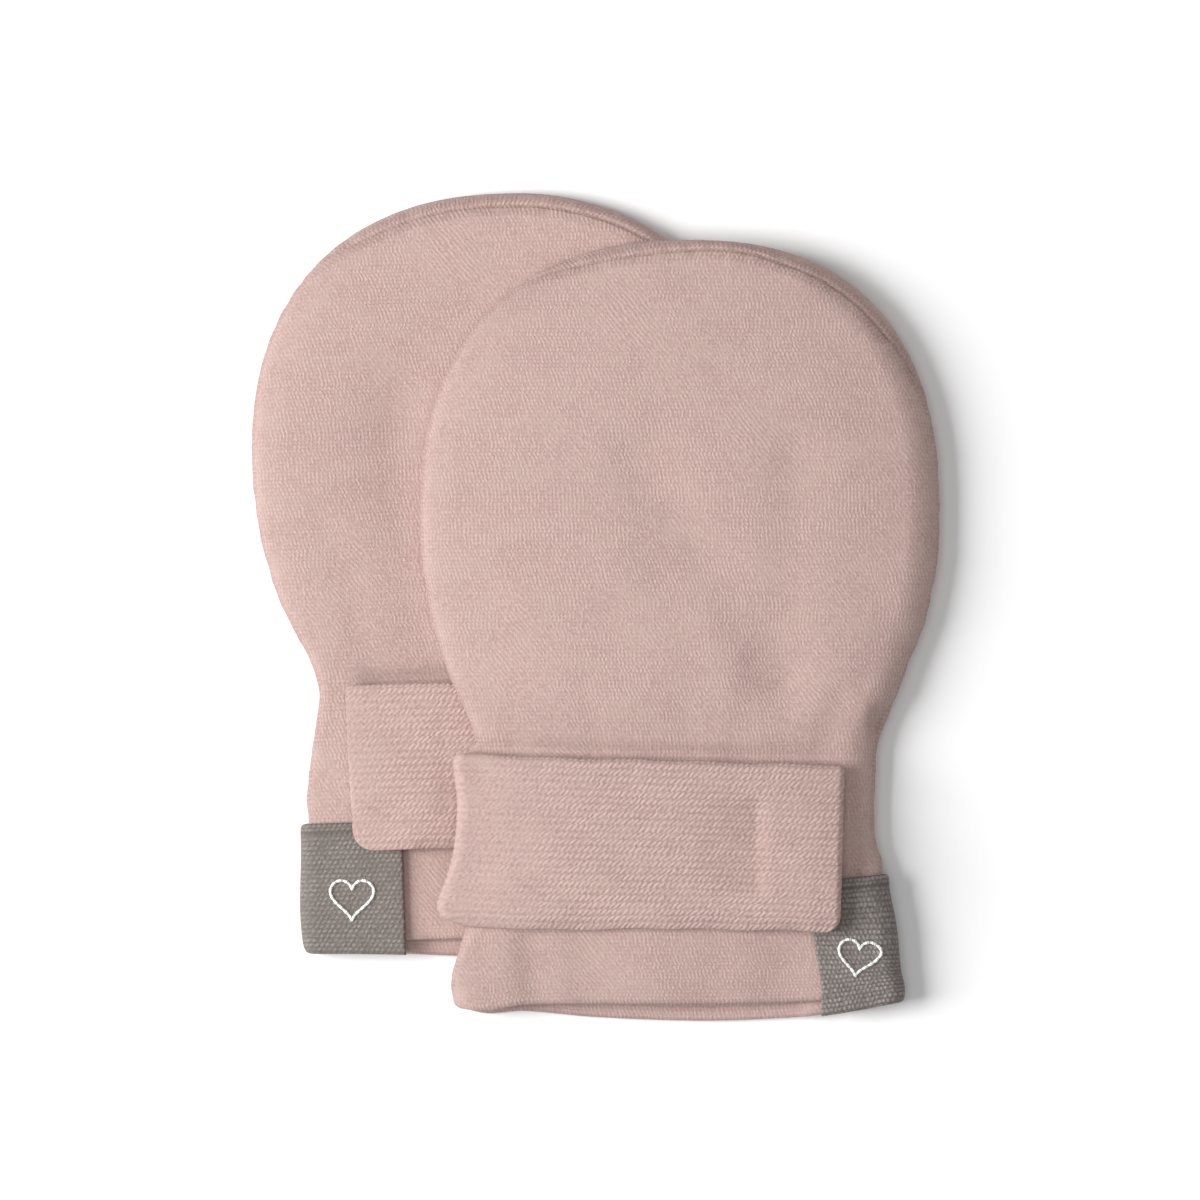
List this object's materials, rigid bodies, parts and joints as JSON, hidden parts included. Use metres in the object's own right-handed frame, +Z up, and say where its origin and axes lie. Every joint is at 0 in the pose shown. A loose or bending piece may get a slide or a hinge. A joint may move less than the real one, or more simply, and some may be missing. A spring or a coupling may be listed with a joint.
{
  "type": "pair of baby mittens",
  "caption": "Round, thumbless knitted mittens for a baby with wrist straps and side labels, laid flat with one resting on the other.",
  "frame": {"origin": "middle of the pair's footprint, on the surface that the pair lies on", "axes": "+Y towards the fingertips, +X to the picture's right, +Z up"},
  "size_m": [0.1134, 0.1364, 0.0128],
  "materials": {
    "body_knit": "fine single jersey in dusty pink, soft and matt",
    "strap_knit": "coarser knit in the same pink, with clear rows of slanted stitches",
    "label_weave": "heathered warm grey canvas tape, matt",
    "hook_tape": "thin hook tape, out of sight under the strap"
  },
  "bodies": {
    "root": {"front_panel_left": "body_knit", "back_panel_left": "body_knit", "strap_left": "strap_knit", "hook_patch_left": "hook_tape", "label_left": "label_weave", "front_panel_right": "body_knit", "back_panel_right": "body_knit", "strap_right": "strap_knit", "hook_patch_right": "hook_tape", "label_right": "label_weave"}
  },
  "joints": []
}
